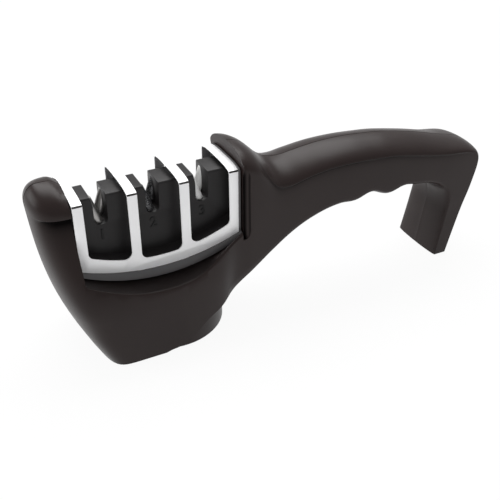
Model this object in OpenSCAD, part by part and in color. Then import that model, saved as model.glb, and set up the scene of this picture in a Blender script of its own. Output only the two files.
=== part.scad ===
/* [Body] */
// Length from the nose tip to the face of the shoulder
head_length = 84.4; // [82:0.2:88]
// Length from the face of the shoulder to the end of the handle
handle_length = 123.6; // [112:0.2:136]
// Width of the head at its widest
head_width = 50.6; // [49:0.2:54]
// Height of the shoulder behind the cartridge
shoulder_height = 78; // [76:0.5:82]
// Height of the nose
nose_height = 77; // [75:0.5:79]
// Thickness of the nose, from its tip to the cartridge
nose_thickness = 15; // [14.4:0.1:17]
// Width of the nose at its thumb pad
nose_width = 27; // [25:0.2:31]
// Width of the handle
handle_width = 28; // [27:0.2:31]
// How far the foot of the nose lies behind its tip
nose_reach = 19.2; // [16:0.2:22]
// Wall of the two body shells
wall = 2.4; // [2:0.1:2.8]
// Depth of one finger wave under the handle
finger_wave = 1.5; // [0.5:0.1:2]
// Height of the lowest point of the lip beside the cartridge
lip_height = 28; // [27:0.1:29]
// Radius of the lip's arc in side view
lip_radius = 77; // [74:0.5:80]

/* [Cartridge] */
// Width of one bridging strip of the steel cover
strip_width = 4; // [3:0.1:5]
// Distance from one strip to the next
strip_pitch = 21.25; // [20.6:0.05:21.6]
// Width of the steel cover
cover_width = 28; // [27.6:0.1:28.4]
// Height of the top of the steel cover above the table
cover_height = 71.3; // [70.5:0.1:72]
// Thickness of the steel sheet
sheet = 0.6; // [0.4:0.1:0.8]
// Outside bend radius of the steel sheet
cover_bend = 4; // [3:0.1:5]
// Height of the lowest point of the steel band
band_bottom = 36; // [35.6:0.1:36.4]
// Radius of the lower edge of the steel band
band_radius = 90; // [86:1:94]
// Height of the lowest point of the windows in the steel cover
window_bottom = 41; // [40.6:0.1:42]
// Radius of the lower edge of the windows
window_radius = 70; // [68:1:72]
// Corner radius of the windows
window_corner = 3; // [2:0.1:3.5]
// Width of the dark rim below the steel band
rim_width = 31; // [30.6:0.1:31.6]
// Height of the lowest point of the rim
rim_bottom = 32.5; // [32:0.1:33]
// Width of the tower that the slots are cut in
tower_width = 12.6; // [12.2:0.1:13.4]
// Height of the top of the tower above the table
tower_height = 69.4; // [69.2:0.1:69.7]
// Width of a slot at its mouth
slot_mouth = 6.6; // [6.2:0.1:7.2]
// Width of a slot near its bottom
slot_throat = 4.2; // [4:0.1:5]
// Height of the bottom of the slots above the table
slot_bottom = 58; // [57:0.1:58.6]

/* [Sharpening rods] */
// Diameter of a rod
rod_d = 4.6; // [4.2:0.1:4.7]
// Length of a rod
rod_length = 22.6; // [21.6:0.1:22.8]
// Lean of a rod away from upright
rod_lean = 20; // [18:0.5:21]
// Height above the table where the two rods of a pair cross in side view
rod_crossing = 54.3; // [54:0.1:54.5]

/* [Base and feet] */
// Thickness of the rubber pads
pad = 1; // [0.8:0.1:1.4]
// Thickness of the base plate
plate = 2.4; // [2:0.1:2.6]

/* [Screws] */
// Shank diameter of the screws that join the body shells
screw_d = 2.6; // [2.2:0.1:3]
// Head diameter of those screws
screw_head_d = 5; // [4.6:0.1:5.2]
// Shank diameter of the small screws in the base and the cartridge
small_screw_d = 2; // [1.8:0.1:2.2]
// Head diameter of the small screws
small_head_d = 3.8; // [3.4:0.1:4]

/* [Hidden] */

overrun = 1;
gap = 0.3;
press_gap = 0.05;
arc_fn = 180;
fine_fn = 64;
small_fn = 32;

// The body stands along X with its nose at -X, centred over the origin
body_length = head_length + handle_length;
x_tip = -body_length / 2;
x_shoulder = x_tip + head_length;
x_nose_wall = x_tip + nose_thickness;

// Rolled edges: the top face meets the sides in a quarter ellipse of this height
nose_roll = 7.5;
nose_front_roll = 8.2;
shoulder_roll = 9;
under_roll = 4;
base_roll = 1.6;
// The thumb pad overhangs the sides of the nose by this much
nose_ledge = 1.4;
ledge_fade = 20;

// Heights between which the sides of the head draw in from the base to the top
flare_low = 26;
flare_high = 64;

function mix(a, b, s) = a + (b - a) * s;
function clamp01(s) = min(1, max(0, s));
function smooth(s) = let (c = clamp01(s)) c * c * (3 - 2 * c);
// A curve through rows of numbers, with the slopes of its neighbours
function spline_row(p, q, r, t, s) = [for (i = [0 : len(p) - 1])
    (2 * q[i] + (r[i] - p[i]) * s + (2 * p[i] - 5 * q[i] + 4 * r[i] - t[i]) * s * s
        + (3 * q[i] - p[i] - 3 * r[i] + t[i]) * s * s * s) / 2];
function spline_at(rows, u) = let (
    last = len(rows) - 1,
    i = min(last - 1, max(0, floor(u))))
    spline_row(rows[max(0, i - 1)], rows[i], rows[i + 1], rows[min(last, i + 2)], u - i);

// The nose: its front face bows in side view and rolls over at the top
nose_side = nose_height - nose_roll;
nose_plan_base_share = 0.30;
nose_plan_top_share = 0.25;
nose_bow_share = 1.65;
nose_square_share = 5;
nose_corner_share = 1.6;
function nose_front(z) = z < nose_side
    ? x_tip + nose_reach * pow(1 - z / nose_side, nose_bow_share)
    : x_tip + nose_front_roll * (1 - sqrt(max(0, 1 - pow((z - nose_side) / nose_roll, 2))));
function nose_plan(z) = head_length
    * mix(nose_plan_base_share, nose_plan_top_share, clamp01(z / nose_side));
function nose_spread(s) = pow(1 - pow(1 - s, nose_square_share), 1 / nose_corner_share);
nose_step_shares = [0, 0.012, 0.05, 0.12, 0.22, 0.36, 0.55, 0.77, 1];

// The rest of the body: bottom and top of each section in side view, its half widths at the base and the
// top, and its lower and upper rolled edges.
// Columns: bottom along, bottom height, top along, top height, base width, top width, lower roll, upper roll.
// Along the head as shares of the head's length, and along the handle as shares of the handle's.
head_shares = [
    [0.662, 0.015, 0.520, 0.985, 0.976, 0.640, 0.40, 1.00],
    [0.752, 0.100, 0.700, 0.990, 0.924, 0.670, 0.40, 1.00],
    [0.838, 0.152, 0.860, 0.995, 0.848, 0.682, 0.40, 1.00]];
handle_shares = [
    [-0.054, 0.205, -0.007, 1.000, 1.330, 1.214, 0.75, 1.00],
    [0.024, 0.282, 0.053, 0.962, 1.229, 1.186, 0.80, 1.00],
    [0.108, 0.362, 0.122, 0.850, 1.136, 1.114, 0.90, 0.90],
    [0.193, 0.428, 0.187, 0.823, 1.064, 1.057, 1.00, 0.76],
    [0.274, 0.476, 0.256, 0.836, 1.014, 1.014, 1.00, 0.66],
    [0.361, 0.512, 0.345, 0.856, 1.000, 1.000, 1.00, 0.65],
    [0.456, 0.520, 0.446, 0.863, 1.000, 1.000, 1.00, 0.65],
    [0.553, 0.524, 0.543, 0.854, 1.000, 1.000, 1.00, 0.65],
    [0.636, 0.524, 0.628, 0.837, 1.000, 1.000, 1.00, 0.65],
    [0.713, 0.522, 0.757, 0.800, 1.000, 1.000, 0.95, 0.60],
    [0.773, 0.517, 0.871, 0.754, 1.000, 1.000, 0.90, 0.50],
    [0.826, 0.491, 0.956, 0.705, 1.000, 1.000, 0.85, 0.38],
    [0.866, 0.433, 0.999, 0.609, 1.000, 1.000, 0.75, 0.28],
    [0.880, 0.340, 0.987, 0.455, 1.000, 1.000, 0.65, 0.24],
    [0.869, 0.218, 0.956, 0.282, 1.000, 1.000, 0.55, 0.22],
    [0.854, 0.000, 0.903, 0.000, 1.000, 1.000, 0.45, 0.20]];
wave_start_share = 0.40;
wave_end_share = 0.735;
wave_count = 2;

function share_row(r, start, length, width) = [
    start + length * r[0], mix(pad, shoulder_height, r[1]),
    start + length * r[2], mix(pad, shoulder_height, r[3]),
    width / 2 * r[4], width / 2 * r[5], under_roll * r[6], shoulder_roll * r[7]];
body_rows = concat(
    [for (r = head_shares) share_row(r, x_tip, head_length, head_width)],
    [for (r = handle_shares) share_row(r, x_shoulder, handle_length, handle_width)]);
row_count = len(body_rows);
function finger_rise(x) = let (
    s = (x - x_shoulder) / handle_length,
    t = (s - wave_start_share) / (wave_end_share - wave_start_share))
    t <= 0 || t >= 1 ? 0 : -finger_wave * sin(180 * t) * cos(360 * wave_count * t - 90);

// Half width of a section at a height
function side_width(base, top, z) = mix(base, top, smooth((z - flare_low) / (flare_high - flare_low)));
function ledge_at(z) = nose_ledge * clamp01(1 - (nose_side - z) / ledge_fade);

under_steps = 4;
side_steps = 7;
top_steps = 5;
// Heights along a section of height h, each with the share of the width that the rolled edges leave there
function levels(h, low, high) = concat(
    [for (i = [0 : under_steps]) [low * (1 - cos(90 * i / under_steps)), sin(90 * i / under_steps), 0]],
    [for (i = [1 : side_steps - 1]) [mix(low, h - high, i / side_steps), 1, 1]],
    [for (i = [0 : top_steps]) [h - high * (1 - sin(90 * i / top_steps)), cos(90 * i / top_steps), 0]]);

// One section of the nose, at a share of the way back from its front face
function nose_section(s) = [for (v = levels(nose_height - pad, base_roll, nose_roll)) let (z = pad + v[0])
    [nose_front(z) + nose_plan(z) * s,
        -max(0, (side_width(head_width / 2, nose_width / 2, z) - v[2] * ledge_at(z)) * v[1]) * nose_spread(s),
        z]];

// One section of the head or the handle, inset by a wall for the inside of the shells
function body_section(r, inset) = let (
    low = r[1] + (inset > 0 ? finger_wave : finger_rise(r[0])),
    span = norm([r[2] - r[0], r[3] - low]))
    [for (v = levels(span - 2 * inset, r[6], r[7])) let (
        t = (v[0] + inset) / span,
        z = mix(low, r[3], t),
        w = side_width(r[4], r[5], z) - inset + (inset > 0 ? overrun : 0))
        [mix(r[0], r[2], t), -w * v[1], z]];

segment_steps = 3;
function outer_sections() = concat(
    [for (s = nose_step_shares) nose_section(s)],
    [for (k = [0 : (row_count - 1) * segment_steps])
        body_section(spline_at(body_rows, k / segment_steps), 0)]);
// The inside of the handle runs from behind the shoulder to above the foot
hollow_first_row = 4;
hollow_last_row = row_count - 3;

// Closes a stack of half sections into a solid with its flat side in the middle plane
module half_solid(sections) {
    count = len(sections);
    m = len(sections[0]);
    skin = [for (i = [0 : count - 2]) for (j = [0 : m - 2]) each [
        [i * m + j, i * m + j + 1, (i + 1) * m + j + 1],
        [i * m + j, (i + 1) * m + j + 1, (i + 1) * m + j]]];
    start_cap = [for (j = [1 : m - 2]) [0, j + 1, j]];
    end_cap = [for (j = [1 : m - 2]) [(count - 1) * m, (count - 1) * m + j, (count - 1) * m + j + 1]];
    flat_side = [for (i = [0 : count - 2]) each [
        [i * m, (i + 1) * m, (i + 1) * m + m - 1],
        [i * m, (i + 1) * m + m - 1, i * m + m - 1]]];
    polyhedron([for (s = sections) each s], concat(skin, start_cap, end_cap, flat_side));
}

// A disc that lies along Y, centred in side view at x and z
module disc_y(x, z, radius, y_from, y_to, facets) {
    translate([x, y_to, z])
        rotate([90, 0, 0])
            cylinder(h = y_to - y_from, r = radius, $fn = facets);
}

// A box from one corner to the opposite one
module box(low, high) {
    translate(low)
        cube(high - low);
}

// The cartridge: three slots between four strips, over the middle of the cover
slot_count = 3;
x_cover = x_nose_wall + gap;
cover_length = slot_count * strip_pitch + strip_width;
x_cover_end = x_cover + cover_length;
x_cart_end = x_shoulder - gap;
x_cart = x_cover + cover_length / 2;
x_cart_middle = (x_cover + x_cart_end) / 2;
function slot_x(i) = x_cover + strip_width / 2 + strip_pitch * (i + 1 / 2);
function gap_x(i) = x_cover + strip_width / 2 + strip_pitch * (i + 1);

// Arcs in side view, each about its own centre above the middle of the cover
lip_centre = lip_height + lip_radius;
rim_radius = lip_centre - rim_bottom;
band_centre = band_bottom + band_radius;
window_centre = window_bottom + window_radius;
deck_drop = 1;
deck_radius = window_radius + deck_drop;

// The plug of the cartridge hangs in the well of the body and stands on the floor plate
plug_width = cover_width - 2 * sheet - gap;
plug_bottom = rim_bottom - gap;
floor_plate = 2.5;
floor_bottom = plug_bottom - floor_plate;
well_width = plug_width + 2 * gap;
well_bottom = floor_bottom - gap;
seat_width = rim_width + 2 * gap;

// The round rear of the base
pedestal_radius = 25.1;
pedestal_back = 53.4;
pedestal_height = 18;
x_pedestal = x_tip + pedestal_back;
plate_ledge = 1.5;
plate_gap = 0.2;
pad_inset = 0.2;
base_hollow_top = 26;

// An upright solid with the outline of the base, drawn in by an inset
module base_block(inset, height) {
    reach = nose_plan(pad) - inset;
    half = head_width / 2 - inset;
    side = concat(
        [for (s = nose_step_shares) [nose_front(pad) + inset + reach * s, half * nose_spread(s)]],
        [[x_pedestal, half]]);
    last = len(side) - 1;
    linear_extrude(height)
        polygon(concat(side, [for (i = [last : -1 : 1]) [side[i][0], -side[i][1]]]));
    translate([x_pedestal, 0, 0])
        cylinder(h = height, r = pedestal_radius - inset, $fn = arc_fn);
}

// Screws through both shells: along, height, and how far the boss reaches from the middle plane
screw_seat = 8;
screw_head = 2;
screw_depth = 8;
boss_wall = 2.1;
nose_screw_share = 0.52;
nose_screw = [10.4, nose_height * nose_screw_share];
rear_screw = [-4.4, 24];
shoulder_screw = [9.6, 55];
grip_screw = [64.6, 56];
end_screw = [109.6, 45];
nose_boss = 7.5;
shoulder_boss = 15;
grip_boss = 12.6;
shell_screw_places = [
    [x_tip + nose_screw[0], nose_screw[1], nose_boss],
    [x_shoulder + rear_screw[0], rear_screw[1], grip_boss],
    [x_shoulder + shoulder_screw[0], shoulder_screw[1], shoulder_boss],
    [x_shoulder + grip_screw[0], grip_screw[1], grip_boss],
    [x_shoulder + end_screw[0], end_screw[1], grip_boss]];

// Small screws
small_head = 1.2;
small_length = 7;
base_screw_back = 18;
base_screw_side = 12;
base_boss_radius = 3;
base_screw_places = [for (x = [-base_screw_back, base_screw_back / 2]) for (y = [-1, 1])
    [x_pedestal + x, base_screw_side * y]];
cart_screw_side = 9.5;
cart_screw_places = [for (i = [0, 1]) for (y = [-1, 1]) [gap_x(i), cart_screw_side * y]];

// The hollow of the nose
nose_hollow_half = 6.5;
nose_hollow_wall = 4.5;
nose_floor = 3;
nose_top = 7;
nose_hollow_low = base_hollow_top + nose_floor;
nose_hollow_high = nose_height - nose_top;
nose_hollow_steps = 6;

// The near half of the body, before the holes that differ between the halves
module shell_half() {
    difference() {
        union() {
            half_solid(outer_sections());
            intersection() {
                translate([x_pedestal, 0, pad])
                    cylinder(h = pedestal_height, r = pedestal_radius, $fn = arc_fn);
                box([x_tip, -head_width, 0], [x_shoulder, 0, shoulder_height]);
            }
        }
        saddle();
        box([x_nose_wall, -well_width / 2, well_bottom], [x_shoulder, overrun, lip_centre]);
        nose_hollow();
        translate([0, 0, -overrun])
            base_block(wall, pad + plate + overrun);
        base_hollow();
        handle_hollow();
    }
    for (p = shell_screw_places)
        disc_y(p[0], p[1], screw_d / 2 + boss_wall, -p[2], 0, small_fn);
}

// What the cartridge and the sloping shelf beside it take out of the head
module saddle() {
    intersection() {
        translate([x_cart, 0, lip_centre])
            rotate([90, 0, 0])
                translate([0, 0, -overrun])
                    rotate_extrude($fn = arc_fn)
                        polygon([
                            [0, 0],
                            [rim_radius + gap, 0],
                            [rim_radius + gap, seat_width / 2 + overrun],
                            [lip_radius, head_width / 2 + overrun],
                            [lip_radius, head_width / 2 + 2 * overrun],
                            [0, head_width / 2 + 2 * overrun]]);
        box([x_nose_wall, -head_width, 0], [x_shoulder, overrun, lip_centre]);
    }
}

module nose_hollow() {
    zs = [for (i = [0 : nose_hollow_steps]) mix(nose_hollow_low, nose_hollow_high, i / nose_hollow_steps)];
    translate([0, overrun, 0])
        rotate([90, 0, 0])
            linear_extrude(nose_hollow_half + overrun)
                polygon(concat(
                    [for (z = zs) [nose_front(z) + nose_hollow_wall, z]],
                    [[x_nose_wall - wall, nose_hollow_high], [x_nose_wall - wall, nose_hollow_low]]));
}

module base_hollow() {
    difference() {
        translate([0, 0, pad])
            base_block(wall + plate_ledge, base_hollow_top - pad);
        for (p = base_screw_places)
            translate([p[0], p[1], pad + plate])
                cylinder(h = base_hollow_top, r = base_boss_radius, $fn = small_fn);
    }
}

module handle_hollow() {
    translate([0, overrun, 0])
        half_solid([for (k = [hollow_first_row : hollow_last_row]) body_section(body_rows[k], wall)]);
}

// Bores in a shell for the screws that join the shells and the screws that hold the base plate
module shell_bores() {
    for (p = shell_screw_places)
        disc_y(p[0], p[1], screw_d / 2 + press_gap, -screw_depth - gap, overrun, small_fn);
    for (p = base_screw_places)
        translate([p[0], p[1], pad + plate - overrun])
            cylinder(h = small_length + overrun, d = small_screw_d + 2 * press_gap, $fn = small_fn);
}

module body_shell_near() {
    color("#332b29")
        difference() {
            shell_half();
            shell_bores();
        }
}

module body_shell_far() {
    color("#332b29")
        difference() {
            mirror([0, 1, 0])
                shell_half();
            for (p = base_screw_places)
                translate([p[0], p[1], pad + plate - overrun])
                    cylinder(h = small_length + overrun, d = small_screw_d + 2 * press_gap, $fn = small_fn);
            for (p = shell_screw_places) {
                disc_y(p[0], p[1], screw_d / 2 + plate_gap, -overrun, head_width, small_fn);
                disc_y(p[0], p[1], screw_head_d / 2 + plate_gap, screw_seat, head_width, small_fn);
            }
        }
}

module base_plate() {
    color("#2b2b2b")
        difference() {
            translate([0, 0, pad])
                base_block(wall + plate_gap, plate);
            for (p = base_screw_places) {
                translate([p[0], p[1], 0])
                    cylinder(h = pad + plate + overrun, d = small_screw_d + 2 * plate_gap, $fn = small_fn);
                translate([p[0], p[1], 0])
                    cylinder(h = pad + small_head + press_gap, d = small_head_d + 2 * plate_gap, $fn = small_fn);
            }
        }
}

module base_pad() {
    color("#1c1c1c")
        base_block(pad_inset, pad);
}

// The foot of the handle
foot_row = body_rows[row_count - 1];
foot_inset = 0.7;
foot_end_inset = 1.4;
module handle_foot_pad() {
    radius = (foot_row[2] - foot_row[0]) / 2 - foot_inset;
    side = foot_row[4] - foot_end_inset - radius;
    x = (foot_row[0] + foot_row[2]) / 2;
    color("#1c1c1c")
        linear_extrude(pad) {
            translate([x - radius, -side])
                square([2 * radius, 2 * side]);
            for (y = [-1, 1])
                translate([x, y * side])
                    circle(r = radius, $fn = small_fn);
        }
}

drive_share = 0.5;
drive_depth_share = 0.6;
// A screw with its head's top at the origin, pointing down, and a hexagonal drive recess
module screw(shank_d, head_d, head_h, length) {
    difference() {
        union() {
            translate([0, 0, -head_h])
                cylinder(h = head_h, d = head_d, $fn = small_fn);
            translate([0, 0, -head_h - length])
                cylinder(h = length + head_h, d = shank_d, $fn = small_fn);
        }
        translate([0, 0, -head_h * drive_depth_share])
            cylinder(h = head_h, d = head_d * drive_share, $fn = 6);
    }
}

module shell_screws() {
    color("#8a8a8a")
        for (p = shell_screw_places)
            translate([p[0], screw_seat + screw_head, p[1]])
                rotate([-90, 0, 0])
                    screw(screw_d, screw_head_d, screw_head, screw_seat + screw_depth);
}

module base_screws() {
    color("#8a8a8a")
        for (p = base_screw_places)
            translate([p[0], p[1], pad])
                rotate([180, 0, 0])
                    screw(small_screw_d, small_head_d, small_head, small_length);
}

module cartridge_screws() {
    color("#8a8a8a")
        for (p = cart_screw_places)
            translate([p[0], p[1], floor_bottom])
                rotate([180, 0, 0])
                    screw(small_screw_d, small_head_d, small_head, small_length);
}

// Rods: one of each pair on the near side, leaning towards the nose, and one on the far side
rod_side = 2.6;
rod_below = 8.3;
rod_clearance = 0.15;
holder_bottom = 40;
holder_top = 55.5;
holder_half_length = 8.3;
holder_half_width = 5.1;
post_inset = 0.8;
module rod_axis(i, side, before, after, d) {
    translate([slot_x(i), side * rod_side, rod_crossing])
        rotate([0, side * rod_lean, 0])
            translate([0, 0, -before])
                cylinder(h = before + after, d = d, $fn = small_fn);
}

module rod(i, side) {
    rod_axis(i, side, rod_below, rod_length - rod_below, rod_d);
}

module rod_holder(i) {
    x = slot_x(i);
    difference() {
        box([x - holder_half_length, -holder_half_width, holder_bottom],
            [x + holder_half_length, holder_half_width, holder_top]);
        for (side = [-1, 1])
            rod_axis(i, side, rod_crossing - holder_bottom + 2 * rod_d, rod_length, rod_d + 2 * press_gap);
    }
}

module coarse_rod_near() { color("#c9ccd0") rod(0, -1); }
module coarse_rod_far() { color("#c9ccd0") rod(0, 1); }
module fine_rod_near() { color("#55565a") rod(1, -1); }
module fine_rod_far() { color("#55565a") rod(1, 1); }
module polish_rod_near() { color("#f2f0ea") rod(2, -1); }
module polish_rod_far() { color("#f2f0ea") rod(2, 1); }
module coarse_rod_holder() { color("#26211f") rod_holder(0); }
module fine_rod_holder() { color("#26211f") rod_holder(1); }
module polish_rod_holder() { color("#26211f") rod_holder(2); }

// The slots of the cartridge and the tabs of its cover
tab_width = 5;
tab_bottom = 33.6;
tab_gap = 0.1;
side_hollow = [6.5, 7.3, 11.3];
side_hollow_height = 4.5;
module slot_cut(i) {
    translate([slot_x(i), tower_width, 0])
        rotate([90, 0, 0])
            linear_extrude(2 * tower_width) {
                polygon([
                    [-slot_throat / 2, slot_bottom + slot_throat / 2],
                    [slot_throat / 2, slot_bottom + slot_throat / 2],
                    [slot_mouth / 2, tower_height],
                    [slot_mouth / 2, tower_height + overrun],
                    [-slot_mouth / 2, tower_height + overrun],
                    [-slot_mouth / 2, tower_height]]);
                translate([0, slot_bottom + slot_throat / 2])
                    circle(d = slot_throat, $fn = fine_fn);
            }
}

// The end plate of the frame closes the cover beside the shoulder
module end_plate() {
    half = cover_width / 2;
    intersection() {
        translate([x_cover_end + tab_gap, 0, 0])
            rotate([90, 0, 90])
                linear_extrude(x_cart_end - x_cover_end - tab_gap) {
                    translate([-half, band_bottom])
                        square([2 * half, cover_height - cover_bend - band_bottom]);
                    translate([-half + cover_bend, band_bottom])
                        square([2 * half - 2 * cover_bend, cover_height - band_bottom]);
                    for (y = [-1, 1])
                        translate([y * (half - cover_bend), cover_height - cover_bend])
                            circle(r = cover_bend, $fn = fine_fn);
                }
        disc_y(x_cart, band_centre, band_radius, -cover_width, cover_width, arc_fn);
    }
}

module cartridge_frame() {
    color("#3a3a3c")
        difference() {
            union() {
                difference() {
                    box([x_cover, -plug_width / 2, plug_bottom], [x_cart_end, plug_width / 2, slot_bottom]);
                    disc_y(x_cart, window_centre, deck_radius, -cover_width, cover_width, arc_fn);
                }
                difference() {
                    intersection() {
                        box([x_cover, -rim_width / 2, 0], [x_cart_end, rim_width / 2, slot_bottom]);
                        disc_y(x_cart, lip_centre, rim_radius, -cover_width, cover_width, arc_fn);
                    }
                    disc_y(x_cart, band_centre, band_radius + tab_gap, -cover_width, cover_width, arc_fn);
                }
                box([x_cover, -tower_width / 2, plug_bottom], [x_cart_end, tower_width / 2, tower_height]);
                end_plate();
            }
            for (i = [0 : slot_count - 1]) {
                x = slot_x(i);
                slot_cut(i);
                box([x - holder_half_length - plate_gap, -holder_half_width - plate_gap, 0],
                    [x + holder_half_length + plate_gap, holder_half_width + plate_gap, holder_top + gap]);
                for (side = [-1, 1]) {
                    rod_axis(i, side, 0, rod_length - rod_below + gap, rod_d + 2 * rod_clearance);
                    mirror([0, (1 - side) / 2, 0])
                        box([x - side_hollow[0], side_hollow[1], 0],
                            [x + side_hollow[0], side_hollow[2], plug_bottom + side_hollow_height]);
                }
            }
            for (p = cart_screw_places)
                translate([p[0], p[1], 0])
                    cylinder(h = floor_bottom + small_head + small_length + gap,
                        d = small_screw_d + 2 * press_gap, $fn = small_fn);
            cover_tabs(tab_gap);
        }
}

module cover_tabs(room) {
    half = cover_width / 2;
    for (i = [0, 1])
        for (side = [0, 1])
            mirror([0, side, 0])
                box([gap_x(i) - tab_width / 2 - room, half - sheet - room, tab_bottom - room],
                    [gap_x(i) + tab_width / 2 + room, half + room, window_bottom]);
}

// One window of the cover, with its lower edge on an arc and its lower corners rounded
module window_outline(i) {
    left = x_cover + strip_pitch * i + strip_width;
    right = left + strip_pitch - strip_width;
    inner = window_radius - window_corner;
    corners = [for (x = [left + window_corner, right - window_corner]) let (dx = x - x_cart)
        [x, window_centre - sqrt(inner * inner - dx * dx), x_cart + dx * window_radius / inner]];
    top = cover_height + overrun;
    intersection() {
        translate([corners[0][2], 0])
            square([corners[1][2] - corners[0][2], top]);
        translate([x_cart, window_centre])
            circle(r = window_radius, $fn = arc_fn);
    }
    translate([left, corners[0][1]])
        square([corners[0][2] + window_corner - left, top - corners[0][1]]);
    translate([corners[1][2] - window_corner, corners[1][1]])
        square([right + window_corner - corners[1][2], top - corners[1][1]]);
    for (c = corners)
        translate([c[0], c[1]])
            circle(r = window_corner, $fn = fine_fn);
}

module bent_outline(inset) {
    half = cover_width / 2 - inset;
    top = cover_height - inset;
    bend = cover_bend - inset;
    square([2 * half, 2 * (top - bend)], center = true);
    square([2 * (half - bend), 2 * top], center = true);
    for (y = [-1, 1])
        translate([y * (half - bend), top - bend])
            circle(r = bend, $fn = fine_fn);
}

module steel_cover() {
    color("#d8dade")
        union() {
            difference() {
                intersection() {
                    translate([x_cover, 0, 0])
                        rotate([90, 0, 90])
                            linear_extrude(cover_length)
                                difference() {
                                    bent_outline(0);
                                    bent_outline(sheet);
                                }
                    disc_y(x_cart, band_centre, band_radius, -cover_width, cover_width, arc_fn);
                }
                for (i = [0 : slot_count - 1])
                    translate([0, cover_width, 0])
                        rotate([90, 0, 0])
                            linear_extrude(2 * cover_width)
                                window_outline(i);
            }
            intersection() {
                cover_tabs(0);
                box([x_cover, -cover_width, 0], [x_cover_end, cover_width, window_bottom - sheet]);
            }
        }
}

module cartridge_floor() {
    color("#2b2b2b")
        difference() {
            union() {
                box([x_cover + gap, -plug_width / 2 + gap, floor_bottom],
                    [x_cart_end - gap, plug_width / 2 - gap, plug_bottom]);
                for (i = [0 : slot_count - 1])
                    box([slot_x(i) - holder_half_length + post_inset, -holder_half_width + gap, floor_bottom],
                        [slot_x(i) + holder_half_length - post_inset, holder_half_width - gap,
                            holder_bottom - press_gap]);
            }
            for (p = cart_screw_places) {
                translate([p[0], p[1], 0])
                    cylinder(h = plug_bottom + overrun, d = small_screw_d + 2 * plate_gap, $fn = small_fn);
                translate([p[0], p[1], 0])
                    cylinder(h = floor_bottom + small_head + press_gap, d = small_head_d + 2 * plate_gap,
                        $fn = small_fn);
            }
        }
}

body_shell_near();
body_shell_far();
base_plate();
base_pad();
handle_foot_pad();
shell_screws();
base_screws();
cartridge_frame();
steel_cover();
cartridge_floor();
cartridge_screws();
coarse_rod_holder();
fine_rod_holder();
polish_rod_holder();
coarse_rod_near();
coarse_rod_far();
fine_rod_near();
fine_rod_far();
polish_rod_near();
polish_rod_far();
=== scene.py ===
import bpy
import bmesh
import math
from mathutils import Matrix, Vector
from mathutils.kdtree import KDTree


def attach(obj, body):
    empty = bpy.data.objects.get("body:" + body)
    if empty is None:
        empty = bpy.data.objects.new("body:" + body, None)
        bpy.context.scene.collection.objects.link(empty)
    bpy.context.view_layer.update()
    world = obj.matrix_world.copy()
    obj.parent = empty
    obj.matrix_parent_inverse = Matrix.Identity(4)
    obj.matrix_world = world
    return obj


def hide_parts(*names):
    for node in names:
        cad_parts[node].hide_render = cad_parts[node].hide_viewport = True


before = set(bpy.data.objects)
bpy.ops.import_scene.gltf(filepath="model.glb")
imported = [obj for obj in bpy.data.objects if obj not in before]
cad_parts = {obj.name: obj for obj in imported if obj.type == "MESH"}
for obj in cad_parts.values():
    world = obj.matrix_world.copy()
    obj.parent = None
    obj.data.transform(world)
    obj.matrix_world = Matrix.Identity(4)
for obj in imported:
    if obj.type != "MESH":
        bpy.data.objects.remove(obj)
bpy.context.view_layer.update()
MM = 0.001


# Finishes

# Colour and gloss of the painted shade laid into creases, on the shelf and in the well
PAINTED_SHADE_COLOUR, PAINTED_SHADE_GLOSS = (0.0035, 0.0028, 0.0028), 0.02


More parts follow.
